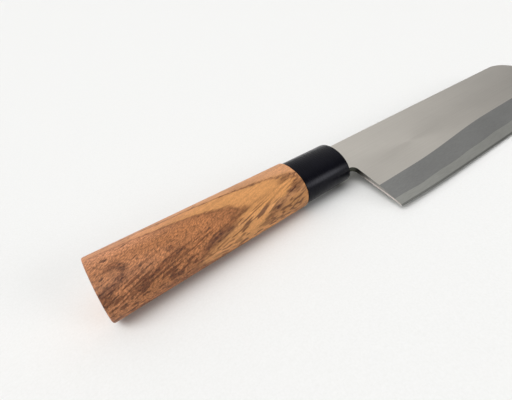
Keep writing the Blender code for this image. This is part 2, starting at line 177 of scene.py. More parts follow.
def grip_tree(material):
    """The tree that makes the grip, with the sizes as its named inputs."""
    tree = bpy.data.node_groups.new("oval_grip", "GeometryNodeTree")
    tree.is_modifier = True
    for name, value in GRIP.items():
        socket = tree.interface.new_socket(name, in_out="INPUT", socket_type="NodeSocketFloat")
        socket.default_value = value
    tree.interface.new_socket("Geometry", in_out="OUTPUT", socket_type="NodeSocketGeometry")
    size = add(tree, "NodeGroupInput").outputs

    blank = add(tree, "GeometryNodeMeshCylinder",
                {"Vertices": SIDES, "Side Segments": LOOPS, "Radius": 1.0, "Depth": 1.0})
    place = add(tree, "ShaderNodeSeparateXYZ", [add(tree, "GeometryNodeInputPosition")]).outputs
    angle = add(tree, "ShaderNodeMath", [place["Y"], place["X"]], operation="ARCTAN2")
    # Loops crowd towards both ends, where the rounding needs them.
    swing = add(tree, "ShaderNodeMath", [place["Z"], math.pi], operation="MULTIPLY")
    crowded = add(tree, "ShaderNodeMath", [swing], operation="SINE")
    share = add(tree, "ShaderNodeMapRange", {"Value": crowded, "From Min": -1.0, "From Max": 1.0})
    along = add(tree, "ShaderNodeMath", [share, size["Length"]], operation="MULTIPLY")
    from_joint = add(tree, "ShaderNodeMath", [size["Length"], along], operation="SUBTRACT")
    butt_inset = pulled_in(tree, along, size["Butt Rounding"])
    joint_inset = pulled_in(tree, from_joint, size["Joint Rounding"])
    inset = add(tree, "ShaderNodeMath", [butt_inset, joint_inset], operation="ADD")
    power = add(tree, "ShaderNodeMath", [2.0, size["Oval Power"]], operation="DIVIDE")
    across = oval_side(tree, "COSINE", angle, power, share, size["Butt Height"], size["Joint Height"], inset)
    up = oval_side(tree, "SINE", angle, power, share, size["Butt Thickness"], size["Joint Thickness"], inset)
    turned = add(tree, "GeometryNodeSetPosition",
                 {"Geometry": blank, "Position": add(tree, "ShaderNodeCombineXYZ", [along, across, up])})

    # The drill is centred on the joint's face, so it is twice as long as the hole is deep.
    bore = add(tree, "ShaderNodeMath", [size["Bore Diameter"], 0.5], operation="MULTIPLY")
    travel = add(tree, "ShaderNodeMath", [size["Bore Depth"], 2.0], operation="MULTIPLY")
    drill = add(tree, "GeometryNodeMeshCylinder",
                {"Vertices": BORE_SIDES, "Side Segments": 1, "Radius": bore, "Depth": travel})
    aimed = add(tree, "GeometryNodeTransform",
                {"Geometry": drill, "Rotation": (0, math.pi / 2, 0),
                 "Translation": add(tree, "ShaderNodeCombineXYZ", {"X": size["Length"]})})
    bored = add(tree, "GeometryNodeMeshBoolean", {"Mesh 1": turned, "Mesh 2": aimed},
                operation="DIFFERENCE", solver="EXACT")
    facing = add(tree, "ShaderNodeSeparateXYZ", [add(tree, "GeometryNodeInputNormal")]).outputs["X"]
    endwise = add(tree, "ShaderNodeMath", [facing], operation="ABSOLUTE")
    curved = add(tree, "ShaderNodeMath", [endwise, FLAT_END], operation="LESS_THAN")
    smooth = add(tree, "GeometryNodeSetShadeSmooth", {"Geometry": bored, "Selection": curved}, domain="FACE")
    real = add(tree, "GeometryNodeRealizeInstances", {"Geometry": smooth})
    clad = add(tree, "GeometryNodeSetMaterial", {"Geometry": real, "Material": material})
    add(tree, "NodeGroupOutput", {"Geometry": clad})
    return tree


# %% [markdown]
# A tree only makes a shape while its modifier is live. Applying the modifier would do, but it needs
# an active object and a context. The evaluated result is copied to a plain mesh instead, and then
# turned on to the table and scaled from millimetres to metres in the mesh itself. The object stays
# at the origin, so patterns on Object coordinates sit right.

# %% Turn a tree into a plain piece
def made_by(tree, name, sizes):
    """The mesh that a Geometry Nodes tree makes, as a plain object at its place."""
    carrier = bpy.data.objects.new(name + "_maker", bpy.data.meshes.new(name + "_maker"))
    bpy.context.scene.collection.objects.link(carrier)
    modifier = carrier.modifiers.new(name, "NODES")
    modifier.node_group = tree
    for item in tree.interface.items_tree:
        if item.in_out == "INPUT" and item.name in sizes:
            modifier[item.identifier] = sizes[item.name]
    ready = carrier.evaluated_get(bpy.context.evaluated_depsgraph_get())
    mesh = bpy.data.meshes.new_from_object(ready)
    carrier.modifiers.clear()
    bpy.data.objects.remove(carrier)
    mesh.transform(PLACE)
    mesh.name = name
    piece = bpy.data.objects.new(name, mesh)
    bpy.context.scene.collection.objects.link(piece)
    print(name, "has", len(mesh.polygons), "faces")
    return piece


# %% [markdown]
# The blade and the ferrule keep the CAD's shape, down to the chamfers. They could be modelled once
# more, but a copy can't drift from its frame. A CAD node is loose triangles, which show as facets,
# so the copy is joined up and shaded smooth. Ground faces meet at only a few degrees and must stay
# crisp, so an edge that runs along the blade is kept sharp from a small angle, and any other edge
# from a larger one. Each face also gets the finish of the stone or file that made it, picked by the
# way it faces.

# %% Joined copies of CAD nodes
ROUND_LIMIT = math.radians(30)
GROUND_LIMIT = math.radians(3)
ALONG = TURN @ Vector((1, 0, 0))
NEARLY_ALONG = 0.98  # the least cosine of an edge that counts as running along the blade
MERGE_DISTANCE = 0.0001 * MM


def joined_copy(node, name, finishes, pick=lambda facing: 0):
    """A merged, smooth-shaded copy of a CAD node; pick gives each face the number of its finish."""
    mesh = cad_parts[node].data.copy()
    mesh.name = name
    solid = bmesh.new()
    solid.from_mesh(mesh)
    bmesh.ops.remove_doubles(solid, verts=solid.verts, dist=MERGE_DISTANCE)
    solid.normal_update()
    for face in solid.faces:
        face.smooth = True
        face.material_index = pick(TURN.transposed() @ face.normal)
    ground = len(finishes) > 1
    for edge in solid.edges:
        if edge.is_manifold:
            run = (edge.verts[1].co - edge.verts[0].co).normalized()
            limit = GROUND_LIMIT if ground and abs(run.dot(ALONG)) > NEARLY_ALONG else ROUND_LIMIT
            edge.smooth = edge.calc_face_angle(0.0) < limit
    # The materials come first, because clearing them also clears each face's number.
    mesh.materials.clear()
    for finish in finishes:
        mesh.materials.append(finish)
    if "custom_normal" in mesh.attributes:
        mesh.attributes.remove(mesh.attributes["custom_normal"])
    solid.to_mesh(mesh)
    solid.free()
    piece = bpy.data.objects.new(name, mesh)
    bpy.context.scene.collection.objects.link(piece)
    print(name, "has", len(mesh.polygons), "faces")
    return piece


# %% [markdown]
# UV maps would stretch a pattern on tapered pieces, so patterns are drawn in the knife's own
# millimetres, right through the solid. One helper starts a material there, one makes a pattern
# with features of a given size in millimetres along each axis, and one ends the material. A
# pattern stays mostly between a low and a high level.

# %% Helpers for materials
LOW, HIGH = 0.3, 0.7


def new_material(name):
    """A material, its node tree, and the knife's coordinates in millimetres inside it."""
    material = bpy.data.materials.new(name)
    material.use_nodes = True
    tree = material.node_tree
    tree.nodes.clear()
    metres = add(tree, "ShaderNodeTexCoord").outputs["Object"]
    place = add(tree, "ShaderNodeMapping",
                {"Vector": metres, "Rotation": TURN_BACK, "Scale": (1 / MM, 1 / MM, 1 / MM)})
    return material, tree, place


def figure(tree, place, sizes, detail=2.0, roughness=0.5):
    """A pattern from 0 to 1 whose features have these sizes in millimetres."""
    shrink = [1 / size for size in sizes]
    scaled = add(tree, "ShaderNodeVectorMath", [place, shrink], operation="MULTIPLY")
    return add(tree, "ShaderNodeTexNoise",
               {"Vector": scaled, "Scale": 1.0, "Detail": detail, "Roughness": roughness})


def finish_material(material, inputs):
    """Adds the shader and the output of a material; inputs are the shader's own sockets."""
    tree = material.node_tree
    shader = add(tree, "ShaderNodeBsdfPrincipled", inputs)
    add(tree, "ShaderNodeOutputMaterial", {"Surface": shader})
    print(material.name, "has", len(tree.nodes), "nodes")


# %% [markdown]
# Hardwood, sawn so that its rings show as long arches, sanded and oiled. What the eye gets is
# golden outer wood round a redder heart, dark lines where growth stopped, long fine streaks along
# the leaning fibres, flecks in the heart and a few short dark pores. A picture of wood would show
# its seam on a round grip. These are real rings round a pith, a line that passes the butt on the
# spine's side and slants into the grip towards the ferrule, so the arches come by themselves where
# the oval cuts them, on every side. Radii and sizes are in millimetres.

# %% Rings of the hardwood
PITH_OFFSET = (0, -16.61, 0.92)
PITH_TURN = (0, math.radians(1.72), math.radians(5.14))
RING_SQUASH = 2.5  # how many times deeper than thick a ring is
DRIFT, DRIFT_SIZE = 0.8, (26, 9, 9)
RIPPLE, RIPPLE_SIZE = 0.7, (3.0, 0.8, 0.8)
FIRST_RING, LAST_RING = 15.0, 36.0
OUTER_PINK, OUTER_GOLD = "#cc9367", "#cf9257"
HEART_RED, INNER_HEART = "#a56a3e", "#aa7048"
BODY_STOPS = [(17.0, OUTER_PINK), (21.8, OUTER_PINK), (23.4, OUTER_GOLD), (26.5, OUTER_GOLD),
              (27.5, HEART_RED), (30.5, HEART_RED), (32.6, INNER_HEART), (35.5, INNER_HEART)]
LINE_STOPS = [(20.0, "#000000"), (21.6, "#101010"), (22.5, "#606060"), (22.85, "#ffffff"),
              (23.2, "#c0c0c0"), (23.5, "#101010"), (25.8, "#101010"), (26.3, "#808080"),
              (26.5, "#202020"), (27.0, "#c0c0c0"), (27.3, "#e0e0e0"), (27.7, "#303030"),
              (28.1, "#808080"), (28.4, "#101010"), (30.4, "#101010"), (30.8, "#808080"),
              (31.2, "#101010"), (33.0, "#101010"), (33.6, "#808080"), (34.2, "#101010")]

for x in (0.0, GRIP["Length"]):
    spot = Euler(PITH_TURN).to_matrix() @ Vector((x, 0, 0)) + Vector(PITH_OFFSET)
    radius = math.hypot(spot.y, spot.z * RING_SQUASH)
    print("at", x, "mm the grip's axis is on the ring of radius", round(radius, 1), "mm")


def ring_share(stops):
    """The same stops, with each ring's radius as a share of the ramp."""
    return [((radius - FIRST_RING) / (LAST_RING - FIRST_RING), colour) for radius, colour in stops]


def ring_radius(tree, grain, fibres):
    """How far a point is from the pith, with the slow drift and the quick ripple of real rings."""
    squashed = add(tree, "ShaderNodeVectorMath", [grain, (1, 1, RING_SQUASH)], operation="MULTIPLY")
    cut = add(tree, "ShaderNodeSeparateXYZ", [squashed]).outputs
    flat = add(tree, "ShaderNodeCombineXYZ", {"Y": cut["Y"], "Z": cut["Z"]})
    clean = add(tree, "ShaderNodeVectorMath", [flat], operation="LENGTH").outputs["Value"]
    slow = figure(tree, grain, DRIFT_SIZE)
    drift = add(tree, "ShaderNodeMapRange", [slow, 0.0, 1.0, -DRIFT, DRIFT])
    quick = figure(tree, fibres, RIPPLE_SIZE)
    ripple = add(tree, "ShaderNodeMapRange", [quick, 0.0, 1.0, -RIPPLE, RIPPLE])
    wobble = add(tree, "ShaderNodeMath", [drift, ripple], operation="ADD")
    return add(tree, "ShaderNodeMath", [clean, wobble], operation="ADD")


# %% [markdown]
# A ring pattern alone looks printed. Real figure comes in patches: the stain gathers in a few
# places, like the small knot near the joint and the dark curl at the butt. Noise would put patches
# anywhere, so each one is a soft ellipsoid at its own place, with its own reach, and its edge is
# blurred from a core to a rim.

# %% Where the stain gathers
GRAIN_LEAN = math.radians(12)
PATCHES = [((87, -2.9, 9.8), (6, 1.8, 4)), ((89, -8.6, 7.6), (8, 1.5, 3)), ((78, -11.0, 4), (11, 1.1, 3)),
           ((8, -2.4, 10.2), (4, 1.7, 3)), ((11, -4.6, 9.9), (2.2, 3, 3)), ((9, -7.6, 9.2), (3, 1.8, 3)),
           ((3, -10.0, 8), (9, 1.9, 3)), ((0, -12.3, 6), (6, 2, 3)), ((17, -12.0, 5.5), (13, 1.2, 3)),
           ((29, -9.6, 8), (8, 1.4, 3)), ((29, -6.8, 9.2), (2, 1.4, 2)), ((48, -11.2, 6), (14, 1.6, 4)),
           ((61, -7.6, 8.2), (6, 1.1, 3))]
PATCH_CORE, PATCH_RIM = 0.3, 1.3  # shares of a patch's reach
print(len(PATCHES), "patches gather the stain")


def gathered_stain(tree, fibres):
    """From 0 to 1, how near the nearest patch is. The places are leaned over as the grain is."""
    near = 0.0
    for middle, reach in PATCHES:
        leaned = Matrix.Rotation(-GRAIN_LEAN, 3, "Z") @ Vector(middle)
        offset = add(tree, "ShaderNodeVectorMath", [fibres, leaned], operation="SUBTRACT")
        shrink = [1 / size for size in reach]
        scaled = add(tree, "ShaderNodeVectorMath", [offset, shrink], operation="MULTIPLY")
        distance = add(tree, "ShaderNodeVectorMath", [scaled], operation="LENGTH").outputs["Value"]
        patch = add(tree, "ShaderNodeMapRange", [distance, PATCH_CORE, PATCH_RIM, 1.0, 0.0],
                    interpolation_type="SMOOTHSTEP")
        near = add(tree, "ShaderNodeMath", [patch, near], operation="MAXIMUM")
    return near


# %% [markdown]
# The wood without its stain is coloured by ring first. Near the butt the pink goes over the heart too. On
# the upper side near the butt that pink is painted sheen: the top is made lighter and pinker, as the light
# falls on it. On the side towards the edge the outermost wood is a darker golden brown, partly its own
# colour and partly painted shade. Each pair below is where such a change starts and ends, along the knife,
# across it or by radius.

# %% Colour of the wood
# The butt's pink is partly the wood's own colour and partly painted sheen on the top of the grip near the
# butt.
BUTT_PINK_AND_SHEEN, EDGE_GOLD_AND_SHADE = "#d0926c", "#b98049"
BUTT_ALONG, BUTT_STRENGTH = (12.0, 60.0), 0.8
PAINTED_SHEEN_ACROSS = (-3.0, 8.0)
# Across the knife, where the painted shade on the side towards the edge starts and is full.
SHADED_EDGE_ACROSS = (-4.0, -10.0)
OUTER_RADII, OUTERMOST_RADII = (25.8, 27.0), (22.0, 24.0)


def wood_body(tree, along, across, radius, share, shaded_edge_side):
    """The colour of the wood, as a ring colour with its pink and its golden brown parts, with painted sheen
    on the upper side and painted shade towards the edge.
    """
    ringed = add(tree, "ShaderNodeValToRGB", [share], stops=ring_share(BODY_STOPS))
    butt_side = add(tree, "ShaderNodeMapRange", [along, *BUTT_ALONG, BUTT_STRENGTH, 0.0],
                    interpolation_type="SMOOTHSTEP")
    outside = add(tree, "ShaderNodeMapRange", [radius, *OUTER_RADII, 1.0, 0.0])
    # Painted sheen: near the butt the top of the grip is made pinker and lighter, as the light falls on it
    # there.
    sheen_side = add(tree, "ShaderNodeMapRange", [across, *PAINTED_SHEEN_ACROSS, 0.0, 1.0],
                interpolation_type="SMOOTHSTEP")
    either = add(tree, "ShaderNodeMath", [outside, sheen_side], operation="MAXIMUM")
    pink = add(tree, "ShaderNodeMath", [butt_side, either], operation="MULTIPLY")
    butt_body = add(tree, "ShaderNodeMix", {"Factor": pink, COLOUR_A: ringed, COLOUR_B: linear(BUTT_PINK_AND_SHEEN)},
                    data_type="RGBA").outputs[COLOUR_MIX]
    # Painted shade, partly: towards the edge the outermost wood is a darker golden brown, partly its own
    # colour and partly shade on that side.
    outermost = add(tree, "ShaderNodeMapRange", [radius, *OUTERMOST_RADII, 1.0, 0.0])
    golden = add(tree, "ShaderNodeMath", [shaded_edge_side, outermost], operation="MULTIPLY")
    return add(tree, "ShaderNodeMix", {"Factor": golden, COLOUR_A: butt_body, COLOUR_B: linear(EDGE_GOLD_AND_SHADE)},
               data_type="RGBA").outputs[COLOUR_MIX]


# %% [markdown]
# The stain lies along the ring lines, in the patches and in long streaks, which come and go. The streaks are
# stronger towards the edge, partly in the wood and partly as painted shade on that side. The fibre breaks up
# the lines and the patches. A pattern's cut is the pair of levels between which it goes from nothing to
# full.

# %% Stain of the wood
STREAK_SIZE, STREAK_CUT = (40, 0.6, 1.2), (0.50, 0.64)
WANDER_SIZE, WANDER_CUT = (15, 5, 5), (0.36, 0.58)
FIBRE_CUT = (0.40, 0.60)
LEAST_STREAK, LEAST_LINE = 0.45, 0.6  # what is left where streaks and lines go
# Streaks are stronger towards the edge partly in the wood and partly as painted shade on that side.
UPPER_STREAKS, EDGE_STREAKS_AND_SHADE = 0.15, 0.8
PATCH_PALE, PATCH_DARK = 0.8, 1.15
FIBRE_GAP = 0.65


def wood_stain(tree, grain, fibres, share, shaded_edge_side, fibre):
    """From 0 to 1, how strong the stain is; its extra strength towards the edge is partly painted shade."""
    lines = add(tree, "ShaderNodeValToRGB", [share], stops=ring_share(LINE_STOPS))
    streaks = figure(tree, fibres, STREAK_SIZE, detail=0.0)
    fine = add(tree, "ShaderNodeMapRange", [streaks, *STREAK_CUT, 0.0, 1.0])
    roam = figure(tree, grain, WANDER_SIZE)
    wander = add(tree, "ShaderNodeMapRange", [roam, *WANDER_CUT, LEAST_STREAK, 1.0])
    faded = add(tree, "ShaderNodeMapRange", [wander, 0.0, 1.0, LEAST_LINE, 1.0])
    ringed = add(tree, "ShaderNodeMath", [lines, faded], operation="MULTIPLY")
    browner_and_shaded = add(tree, "ShaderNodeMapRange", [shaded_edge_side, 0.0, 1.0, UPPER_STREAKS, EDGE_STREAKS_AND_SHADE])
    sided = add(tree, "ShaderNodeMath", [fine, browner_and_shaded], operation="MULTIPLY")
    streaked = add(tree, "ShaderNodeMath", [sided, wander], operation="MULTIPLY")
    darker = add(tree, "ShaderNodeMapRange", [fine, 0.0, 1.0, PATCH_PALE, PATCH_DARK])
    patched = add(tree, "ShaderNodeMath", [gathered_stain(tree, fibres), darker], operation="MULTIPLY")
    either = add(tree, "ShaderNodeMath", [ringed, patched], operation="MAXIMUM")
    gaps = add(tree, "ShaderNodeMapRange", [fibre, *FIBRE_CUT, 1.0, FIBRE_GAP])
    broken = add(tree, "ShaderNodeMath", [either, gaps], operation="MULTIPLY")
    return add(tree, "ShaderNodeMath", [broken, streaked], operation="MAXIMUM", use_clamp=True)


# %% [markdown]
# Real fibres are a tenth of the size used here: they are drawn as coarse as a picture of the knife
# shows. The heart's wood is flecked and the golden wood outside it is smooth, so the heart's flecks
# are about four times as strong. Open pores show in the butt's half only. The oil leaves a satin
# sheen that is a little duller between the fibres.

# %% Figured hardwood
STAIN, PORE = "#50260f", "#4a2a1a"
FLECK_LEAN = math.radians(32)
FIBRE_SIZE, FLECK_SIZE, MOTTLE_SIZE = (3.5, 0.9, 0.9), (1.2, 0.5, 0.6), (12, 4, 4)
HEART_RADII = (26.6, 28.4)
PORE_SIZE, PORE_CUT = (4.5, 0.9, 1.1), (0.235, 0.205)
PORES_ALONG, PORE_STRENGTH = (45.0, 60.0), 0.8
TONE_LOW, TONE_HIGH = 0.34, 0.66
OUTER_FLECKS, HEART_FLECKS = (0.86, 1.14), (0.40, 1.58)  # factors of the darkest and the lightest
FIBRE_TONES, MOTTLE_TONES = (0.93, 1.07), (0.90, 1.10)
WOOD_ROUGHNESS = (0.58, 0.45)


def varied_tone(tree, colour, pattern, factors):
    """The colour made darker and lighter by a pattern, between two factors."""
    factor = add(tree, "ShaderNodeMapRange", [pattern, TONE_LOW, TONE_HIGH, *factors])
    return add(tree, "ShaderNodeVectorMath", {0: colour, "Scale": factor}, operation="SCALE")


def hardwood():
    """The grip's wood: its colour and stain, then flecks, fibre, mottle, pores and sheen."""
    wood, tree, place = new_material("oiled_figured_hardwood")
    grain = add(tree, "ShaderNodeMapping", {"Vector": place, "Location": PITH_OFFSET, "Rotation": PITH_TURN})
    fibres = add(tree, "ShaderNodeMapping", {"Vector": place, "Rotation": (0, 0, -GRAIN_LEAN)})
    leaning = add(tree, "ShaderNodeMapping", {"Vector": place, "Rotation": (0, 0, -FLECK_LEAN)})
    spot = add(tree, "ShaderNodeSeparateXYZ", [place]).outputs
    radius = ring_radius(tree, grain, fibres)
    share = add(tree, "ShaderNodeMapRange", [radius, FIRST_RING, LAST_RING])
    # The side towards the edge is painted darker as shade, on top of the wood's own tone there.
    shaded_edge_side = add(tree, "ShaderNodeMapRange", [spot["Y"], *SHADED_EDGE_ACROSS, 0.0, 1.0])
    fibre = figure(tree, fibres, FIBRE_SIZE, detail=3.0, roughness=0.6)
    body = wood_body(tree, spot["X"], spot["Y"], radius, share, shaded_edge_side)
    stain = wood_stain(tree, grain, fibres, share, shaded_edge_side, fibre)
    stained = add(tree, "ShaderNodeMix", {"Factor": stain, COLOUR_A: body, COLOUR_B: linear(STAIN)},
                  data_type="RGBA").outputs[COLOUR_MIX]

    speckle = figure(tree, leaning, FLECK_SIZE, detail=3.0, roughness=0.7)
    smooth = varied_tone(tree, stained, speckle, OUTER_FLECKS)
    flecked = varied_tone(tree, stained, speckle, HEART_FLECKS)
    in_heart = add(tree, "ShaderNodeMapRange", [radius, *HEART_RADII, 0.0, 1.0])
    speckled = add(tree, "ShaderNodeMix", {"Factor": in_heart, VECTOR_A: smooth, VECTOR_B: flecked},
                   data_type="VECTOR").outputs[VECTOR_MIX]
    streaky = varied_tone(tree, speckled, fibre, FIBRE_TONES)
    mottle = figure(tree, fibres, MOTTLE_SIZE, detail=3.0)
    mottled = varied_tone(tree, streaky, mottle, MOTTLE_TONES)
    pored_end = add(tree, "ShaderNodeMapRange", [spot["X"], *PORES_ALONG, PORE_STRENGTH, 0.0])
    dots = figure(tree, fibres, PORE_SIZE, detail=0.0)
    pore = add(tree, "ShaderNodeMapRange", [dots, *PORE_CUT, 0.0, pored_end])
    pored = add(tree, "ShaderNodeMix", {"Factor": pore, COLOUR_A: mottled, COLOUR_B: linear(PORE)},
                data_type="RGBA").outputs[COLOUR_MIX]
    rough = add(tree, "ShaderNodeMapRange", [fibre, LOW, HIGH, *WOOD_ROUGHNESS])
    relief = add(tree, "ShaderNodeBump", {"Strength": 0.4, "Distance": 0.05 * MM, "Height": speckle})
    finish_material(wood, {"Base Color": pored, "Roughness": rough, "IOR": 1.45, "Normal": relief})
    return wood


HARDWOOD = hardwood()

# %% [markdown]
# Black resin: a moulded ring, glued on and sanded and polished with the grip. The eye gets near
# black with a trace of blue, a low sheen, and hair-fine marks round the ring from the cloth. One
# flat colour would look like wet paint, so tone and gloss both vary a little. The gloss is weaker
# than a hard plastic's, so the IOR and the specular level are below the usual.

# %% Polished black resin
CLOTH_MARKS, RESIN_CLOUDS = (0.35, 6, 6), (9, 9, 9)
RESIN_DARK, RESIN_LIGHT, RESIN_SHEEN = "#07070c", "#0b0b12", "#f3f3ff"
RESIN_ROUGHNESS = (0.22, 0.30)


def black_resin():
    resin, tree, place = new_material("polished_black_resin")
    cloth = figure(tree, place, CLOTH_MARKS, detail=3.0)
    cloud = figure(tree, place, RESIN_CLOUDS, detail=3.0)
    tone = add(tree, "ShaderNodeValToRGB", [cloud], stops=[(LOW, RESIN_DARK), (HIGH, RESIN_LIGHT)])
    rough = add(tree, "ShaderNodeMapRange", [cloth, LOW, HIGH, *RESIN_ROUGHNESS])
    relief = add(tree, "ShaderNodeBump", {"Strength": 0.1, "Distance": 0.004 * MM, "Height": cloth})
    finish_material(resin, {"Base Color": tone, "Roughness": rough, "IOR": 1.45,
                            "Specular IOR Level": 0.165, "Specular Tint": linear(RESIN_SHEEN),
                            "Normal": relief})
    return resin


BLACK_RESIN = black_resin()

# %% [markdown]
# Soft iron is the blade's body. Its flat is brushed along the blade on a belt: the eye gets warm
# satin grey with long hair lines. The bevel below is hazed on a water stone: darker, matt and even.
# The spine is filed and rubbed smooth. A brushed face spreads a reflection across its lines, so it
# is anisotropic. A picture of brushed metal would stretch at the chamfers, so the lines are noise,
# drawn out along the blade. They are 0.3 mm wide, coarser than real, to show.

# %% Ground soft iron
HAZE_CLOUDS = (24, 12, 12)
HAZE_LOW, HAZE_HIGH = 0.35, 0.65
GLOSS_VARIES = 0.03


def ground_metal(name, dark, light, lines, rough, spread=0.0, haze="#f6f6f6"):
    """Bare metal with hair lines of these sizes along x, y and z, and cloudy patches of haze."""
    metal, tree, place = new_material(name)
    hair = figure(tree, place, lines, detail=4.0, roughness=0.6)
    cloud = figure(tree, place, HAZE_CLOUDS, detail=3.0)
    tone = add(tree, "ShaderNodeValToRGB", [hair], stops=[(LOW, dark), (HIGH, light)])
    patch = add(tree, "ShaderNodeValToRGB", [cloud], stops=[(HAZE_LOW, haze), (HAZE_HIGH, "#ffffff")])
    hazed = add(tree, "ShaderNodeMix", {"Factor": 1.0, COLOUR_A: tone, COLOUR_B: patch},
                data_type="RGBA", blend_type="MULTIPLY").outputs[COLOUR_MIX]
    gloss = add(tree, "ShaderNodeMapRange", [hair, LOW, HIGH, rough + GLOSS_VARIES, rough - GLOSS_VARIES])
    relief = add(tree, "ShaderNodeBump", {"Strength": 0.12, "Distance": 0.006 * MM, "Height": hair})
    along_lines = add(tree, "ShaderNodeTangent", direction_type="RADIAL", axis="Z")
    finish_material(metal, {"Base Color": hazed, "Metallic": 1.0, "Roughness": gloss,
                            "Anisotropic": spread, "Tangent": along_lines, "Normal": relief})
    return metal


BRUSHED_FLAT = ground_metal("soft_iron_brushed_flat", "#d9d3ca", "#e0dbd2", lines=(45, 0.3, 0.3),
                            rough=0.36, spread=0.5, haze="#fbfbfb")
STONE_BEVEL = ground_metal("soft_iron_water_stone_haze", "#9b9b99", "#a3a3a1", lines=(2.5, 0.6, 0.6),
                           rough=0.5)
FILED_SPINE = ground_metal("soft_iron_filed_spine", "#84817c", "#989590", lines=(0.3, 5, 2), rough=0.36)

# %% [markdown]
# The neck is painted dark, as the shade that falls under it by the ferrule, and the painted shade fades out
# down the choil, more and more towards the heel. Two materials would meet in a hard line, so one goes from
# painted shade to bare metal down the choil. The hard steel in the choil is made the same way, and is paler
# where it is bare, partly as painted reflection.

# %% Painted shade on the neck
NECK_SHADE_ENDS, BARE_STARTS = -12.0, -22.0  # heights across the knife
NECK_SHADE_DARK, NECK_SHADE_LIGHT = "#3f403a", "#53544c"
FILE_MARKS = (2, 1.5, 0.4)


def neck_shaded_metal(name, dark, light, rough):
    """Metal painted dark with shade by the neck and bare, between two tones, further down."""
    metal, tree, place = new_material(name)
    marks = figure(tree, place, FILE_MARKS, detail=3.0)
    # Painted shade: these dark tones by the neck stand for the shade that falls there.
    neck_shade = add(tree, "ShaderNodeValToRGB", [marks], stops=[(LOW, NECK_SHADE_DARK), (HIGH, NECK_SHADE_LIGHT)])
    bare = add(tree, "ShaderNodeValToRGB", [marks], stops=[(LOW, dark), (HIGH, light)])
    across = add(tree, "ShaderNodeSeparateXYZ", [place]).outputs["Y"]
    # filed is the share of bare metal, where the painted shade has faded out.
    filed = add(tree, "ShaderNodeMapRange", [across, NECK_SHADE_ENDS, BARE_STARTS, 0.0, 1.0],
                interpolation_type="SMOOTHSTEP")
    tone = add(tree, "ShaderNodeMix", {"Factor": filed, COLOUR_A: neck_shade, COLOUR_B: bare},
               data_type="RGBA").outputs[COLOUR_MIX]
    finish_material(metal, {"Base Color": tone, "Metallic": 1.0, "Roughness": rough})
    return metal


SHADED_NECK = neck_shaded_metal("soft_iron_painted_neck_shade", "#9b9892", "#b1aea8", rough=0.42)

# %% [markdown]
# Hard steel is forged on to the iron's back and comes out along the edge. It takes a finer polish
# than the iron from the same stones, so the eye gets a brighter strip, with a narrow facet at the
# very edge. The hollow of the back is ground on a wheel, across the blade. The steel is worked much
# as the iron is, so the same two functions make it, with other tones and sizes.

# %% Honed hard steel
HONED_STRIP = ground_metal("hard_steel_honed_strip", "#b5b5af", "#c0c0ba", lines=(4, 0.5, 0.5), rough=0.42)
FINE_EDGE = ground_metal("hard_steel_fine_edge", "#9c9d98", "#a6a7a2", lines=(8, 0.2, 0.2), rough=0.3)
HOLLOW_BACK = ground_metal("hard_steel_hollow_ground", "#b4b4b0", "#c6c6c2", lines=(0.35, 9, 2),
                           rough=0.3, spread=0.3)
# The choil's steel is rubbed rough, and its pale pinkish tone is partly painted reflection.
RUBBED_CHOIL_AND_REFLECTION = neck_shaded_metal("hard_steel_rubbed_choil_and_painted_reflection", "#dcd4ce", "#e6ded8", rough=0.65)

# %% [markdown]
# Inside are a magnolia dowel and the resin that seals the tang. They show only in the mouth, so one
# pattern is enough for each, but whoever takes the handle apart finds pale straight-grained wood
# and dark amber resin.

# %% Magnolia and amber resin
def plain_material(name, dark, light, features, rough):
    """A material between two tones, with features of these sizes."""
    material, tree, place = new_material(name)
    pattern = figure(tree, place, features, detail=3.0)
    tone = add(tree, "ShaderNodeValToRGB", [pattern], stops=[(LOW, dark), (HIGH, light)])
    finish_material(material, {"Base Color": tone, "Roughness": rough, "IOR": 1.5})
    return material


MAGNOLIA = plain_material("plain_magnolia", "#bfa67c", "#d5c096", features=(10, 0.7, 0.7), rough=0.65)
AMBER_RESIN = plain_material("poured_amber_resin", "#2a1d10", "#3c2a17", features=(2.5, 2.5, 2.5),
                             rough=0.35)

# %% [markdown]
# Each piece now gets its place: the grip from its tree, the others as joined copies. A face's finish
# is told from the way it looks, in the knife's own axes: the bevel leans a little more towards the
# edge than the flat does, and the facet at the very edge leans most. The dowel and the seal keep
# their CAD nodes, which are hidden inside the handle but for the mouth.

# %% The pieces
# Limits on a face's normal: how far it looks up, and how far to the spine, to the edge or the tip.
FACE_ON, UPWARD = 0.9, 0.5
BEVEL_LEAN, FACET_LEAN = -0.05, -0.24
TIPWARD, SPINEWARD = 0.2, 0.3
BRUSHED, HAZED, FILED, NECK_SHADED = range(4)
HONED, FINE, HOLLOW, RUBBED = range(4)


def iron_finish(facing):
    """Brushed on the flat, hazed on the bevel, painted shade going to bare metal on neck and choil, filed on
    the spine.
    """
    if facing.z > FACE_ON:
        return BRUSHED if facing.y > BEVEL_LEAN else HAZED
    if facing.z < -FACE_ON:
        return BRUSHED
    return NECK_SHADED if facing.x < TIPWARD and facing.y < SPINEWARD else FILED


def steel_finish(facing):
    """Honed on the bevel, finer at the edge's facet, hollow-ground behind, rubbed at the choil, whose pale
    tone is partly painted reflection.
    """
    if facing.x < -FACE_ON:
        return RUBBED
    if facing.z < 0:
        return HOLLOW
    return FINE if facing.z > UPWARD and facing.y < FACET_LEAN else HONED


